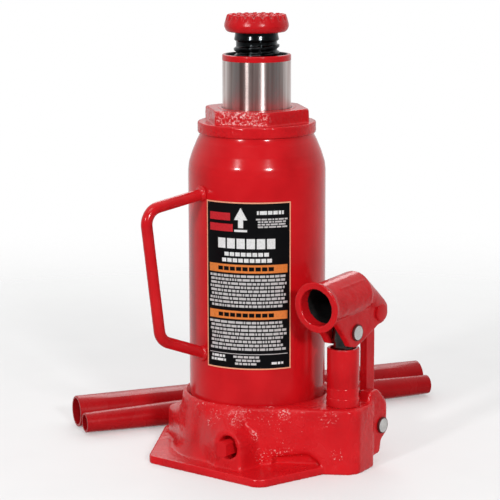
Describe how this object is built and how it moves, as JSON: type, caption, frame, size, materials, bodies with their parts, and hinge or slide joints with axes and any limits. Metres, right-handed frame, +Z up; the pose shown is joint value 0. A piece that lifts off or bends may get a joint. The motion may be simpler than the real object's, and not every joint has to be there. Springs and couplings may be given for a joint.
{
  "type": "hydraulic bottle jack",
  "caption": "Hydraulic bottle jack: cast foot, upright oil tank with side grip, lifting ram with screw-out saddle, lever pump, and a two-tube handle lying beside it.",
  "frame": {"origin": "on the ram's axis, at the underside of the foot", "axes": "+Z up along the ram's axis, +X from the ram towards the pump, -Y towards the side that the handle socket and the release valve face"},
  "size_m": [0.199, 0.2526, 0.2498],
  "materials": {
    "cast_paint": "glossy red enamel over a rough casting",
    "tank_paint": "glossy red enamel over drawn steel",
    "ram_steel": "ground and polished",
    "black_oxide": "black oxide with oil",
    "zinc_steel": "zinc plated",
    "ball_steel": "polished bearing steel",
    "spring_steel": "drawn spring wire",
    "seal_rubber": "matt moulded rubber",
    "copper": "annealed copper",
    "label_film": "printed vinyl film"
  },
  "bodies": {
    "base": {"base_casting": "cast_paint", "tank_base_gasket": "seal_rubber", "oil_tank": "tank_paint", "tank_top_gasket": "seal_rubber", "lifting_cylinder": "ram_steel", "cylinder_gasket": "copper", "tank_nut": "cast_paint", "ram_seal": "seal_rubber", "ram_wiper": "seal_rubber", "carry_handle": "tank_paint", "label": "label_film", "oil_filler_plug": "seal_rubber", "pump_cylinder": "tank_paint", "pump_gasket": "copper", "pump_seal": "seal_rubber", "link_base_pin": "zinc_steel", "link_base_clip": "zinc_steel", "discharge_spring": "spring_steel", "discharge_stop": "black_oxide", "overload_spring": "spring_steel", "overload_screw": "black_oxide"},
    "ram": {"ram": "ram_steel", "piston_cup": "seal_rubber", "piston_washer": "zinc_steel", "piston_screw": "black_oxide"},
    "screw_carrier": {"screw_stop_ring": "black_oxide"},
    "screw": {"extension_screw": "black_oxide", "saddle": "cast_paint"},
    "link": {"pump_link": "tank_paint"},
    "lever": {"lever_socket": "cast_paint", "plunger_pin": "zinc_steel", "plunger_pin_clip": "zinc_steel", "link_top_pin": "tank_paint", "link_top_clip": "zinc_steel"},
    "plunger": {"pump_plunger": "ram_steel", "plunger_oring": "seal_rubber"},
    "release_stem": {"release_valve_oring": "seal_rubber", "release_ball": "ball_steel"},
    "release_valve": {"release_valve": "tank_paint"},
    "suction_valve": {"suction_ball": "ball_steel"},
    "discharge_valve": {"discharge_ball": "ball_steel"},
    "overload_valve": {"overload_ball": "ball_steel"},
    "wide_tube": {"handle_wide_tube": "tank_paint"},
    "slim_tube": {"handle_slim_tube": "tank_paint"}
  },
  "joints": [
    {"name": "ram_lift", "type": "slide", "parent": "base", "child": "ram", "axis": [0, 0, 1], "range_m": [-0.025, 0.125]},
    {"name": "screw_travel", "type": "slide", "parent": "ram", "child": "screw_carrier", "axis": [0, 0, 1], "range_m": [-0.0115, 0.0665]},
    {"name": "screw_turn", "type": "hinge", "parent": "screw_carrier", "child": "screw", "pos_m": [0, 0, 0.24], "axis": [0, 0, 1], "range_deg": [-1040, 6000]},
    {"name": "link_swing", "type": "hinge", "parent": "base", "child": "link", "pos_m": [0.0601, 0.023, 0.0218], "axis": [1, 0, 0], "range_deg": [-0.2, 0.6]},
    {"name": "lever_pump", "type": "hinge", "parent": "link", "child": "lever", "pos_m": [0.0601, 0.023, 0.0864], "axis": [-1, 0, 0], "range_deg": [0, 45]},
    {"name": "plunger_stroke", "type": "slide", "parent": "base", "child": "plunger", "axis": [0, 0, 1], "range_m": [-0.0001, 0.019]},
    {"name": "release_valve_travel", "type": "slide", "parent": "base", "child": "release_stem", "axis": [0, -1, 0], "range_m": [0, 0.0019]},
    {"name": "release_valve_turn", "type": "hinge", "parent": "release_stem", "child": "release_valve", "pos_m": [0.0185, -0.051, 0.0166], "axis": [0, -1, 0], "range_deg": [0, 540]},
    {"name": "suction_ball_lift", "type": "slide", "parent": "base", "child": "suction_valve", "axis": [0, 0, 1], "range_m": [0, 0.0012]},
    {"name": "discharge_ball_lift", "type": "slide", "parent": "base", "child": "discharge_valve", "axis": [0, 0, 1], "range_m": [0, 0.001], "stiffness_N_per_m": 200, "springref_m": -0.001, "deforming": ["discharge_spring"]},
    {"name": "overload_ball_drop", "type": "slide", "parent": "base", "child": "overload_valve", "axis": [0, 0, 1], "range_m": [-0.001, 0], "stiffness_N_per_m": 300, "springref_m": 0.001, "deforming": ["overload_spring"]},
    {"name": "wide_tube_lift", "type": "slide", "parent": "base", "child": "wide_tube", "axis": [0, 0, 1], "range_m": [0, 0.1]},
    {"name": "slim_tube_lift", "type": "slide", "parent": "base", "child": "slim_tube", "axis": [0, 0, 1], "range_m": [0, 0.1]}
  ],
  "couplings": [
    {"joint": "screw_turn", "follows": "screw_travel", "rad_per_m": 1570.8},
    {"joint": "link_swing", "follows": "lever_pump", "ratio": 0.0079},
    {"joint": "plunger_stroke", "follows": "lever_pump", "m_per_rad": 0.02348},
    {"joint": "release_valve_travel", "follows": "release_valve_turn", "m_per_rad": 0.00019894}
  ]
}
